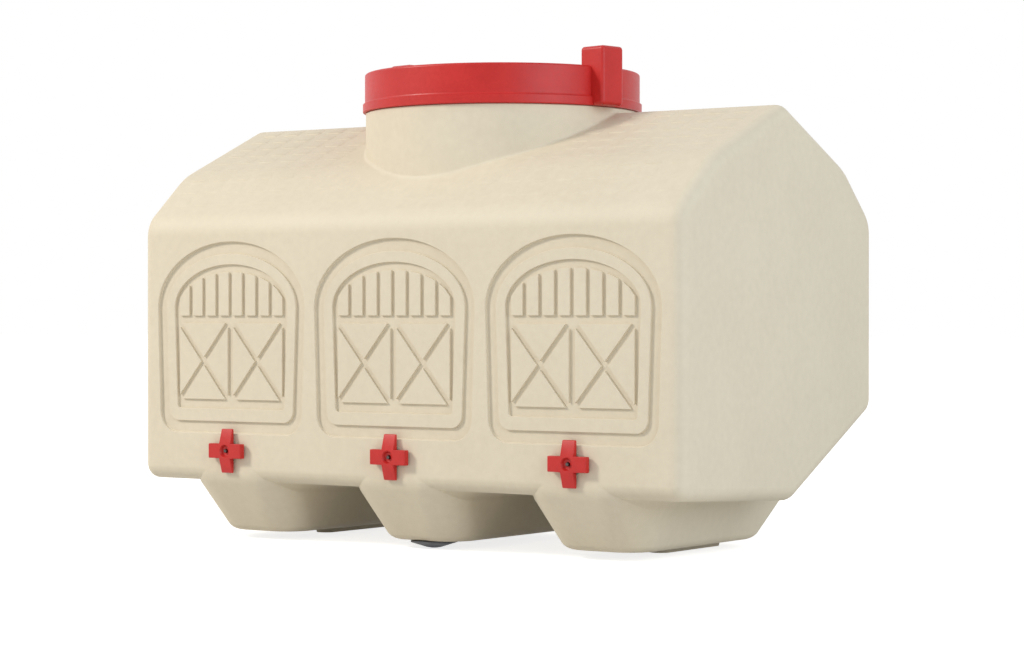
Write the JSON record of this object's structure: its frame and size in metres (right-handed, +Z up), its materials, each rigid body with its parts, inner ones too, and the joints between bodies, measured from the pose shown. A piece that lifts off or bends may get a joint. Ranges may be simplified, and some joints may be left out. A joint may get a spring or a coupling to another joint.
{
  "type": "chicken waterer",
  "caption": "Barn-shaped moulded water tank on lobed feet, with a coarse-thread screw lid, cross-shaped push drinkers on the front wall and a rubber drain bung underneath.",
  "frame": {"origin": "on the floor under the middle of the whole waterer's length and depth", "axes": "+X along the roof ridge, to the right of someone facing the drinkers, -Y out of the front wall that carries the drinkers, +Z up"},
  "size_m": [0.5778, 0.3248, 0.4304],
  "materials": {
    "tank_plastic": "fine moulded grain, tan",
    "lid_plastic": "satin red",
    "drinker_plastic": "satin red",
    "nut_plastic": "natural pale grey",
    "seal_rubber": "matt black",
    "bung_rubber": "matt dark grey",
    "stainless": "bright drawn wire and turned pin"
  },
  "bodies": {
    "tank": {"tank_body": "tank_plastic", "drinker_body_left": "drinker_plastic", "drinker_washer_left": "seal_rubber", "drinker_nut_left": "nut_plastic", "drinker_seal_left": "seal_rubber", "drinker_spring_left": "stainless", "drinker_cap_left": "nut_plastic", "drinker_body_centre": "drinker_plastic", "drinker_washer_centre": "seal_rubber", "drinker_nut_centre": "nut_plastic", "drinker_seal_centre": "seal_rubber", "drinker_spring_centre": "stainless", "drinker_cap_centre": "nut_plastic", "drinker_body_right": "drinker_plastic", "drinker_washer_right": "seal_rubber", "drinker_nut_right": "nut_plastic", "drinker_seal_right": "seal_rubber", "drinker_spring_right": "stainless", "drinker_cap_right": "nut_plastic"},
    "gasket": {"lid_gasket": "seal_rubber"},
    "lid": {"screw_lid": "lid_plastic"},
    "bung": {"drain_bung": "bung_rubber"},
    "pin_left": {"drinker_pin_left": "stainless"},
    "pin_centre": {"drinker_pin_centre": "stainless"},
    "pin_right": {"drinker_pin_right": "stainless"}
  },
  "joints": [
    {"name": "lid_lift", "type": "slide", "parent": "tank", "child": "gasket", "axis": [0, 0, 1], "range_m": [0, 0.12]},
    {"name": "lid_turn", "type": "hinge", "parent": "gasket", "child": "lid", "pos_m": [0, 0.00365, 0.39], "axis": [0, 0, 1], "range_deg": [0, 1800]},
    {"name": "bung_pull", "type": "slide", "parent": "tank", "child": "bung", "axis": [0, 0, -1], "range_m": [0, 0.03]},
    {"name": "pin_push_left", "type": "slide", "parent": "tank", "child": "pin_left", "axis": [0, 1, 0], "range_m": [0, 0.0025], "stiffness_N_per_m": 80, "springref_m": -0.002, "deforming": ["drinker_spring_left"]},
    {"name": "pin_push_centre", "type": "slide", "parent": "tank", "child": "pin_centre", "axis": [0, 1, 0], "range_m": [0, 0.0025], "stiffness_N_per_m": 80, "springref_m": -0.002, "deforming": ["drinker_spring_centre"]},
    {"name": "pin_push_right", "type": "slide", "parent": "tank", "child": "pin_right", "axis": [0, 1, 0], "range_m": [0, 0.0025], "stiffness_N_per_m": 80, "springref_m": -0.002, "deforming": ["drinker_spring_right"]}
  ],
  "couplings": [
    {"joint": "lid_lift", "follows": "lid_turn", "m_per_rad": 0.0038197}
  ]
}
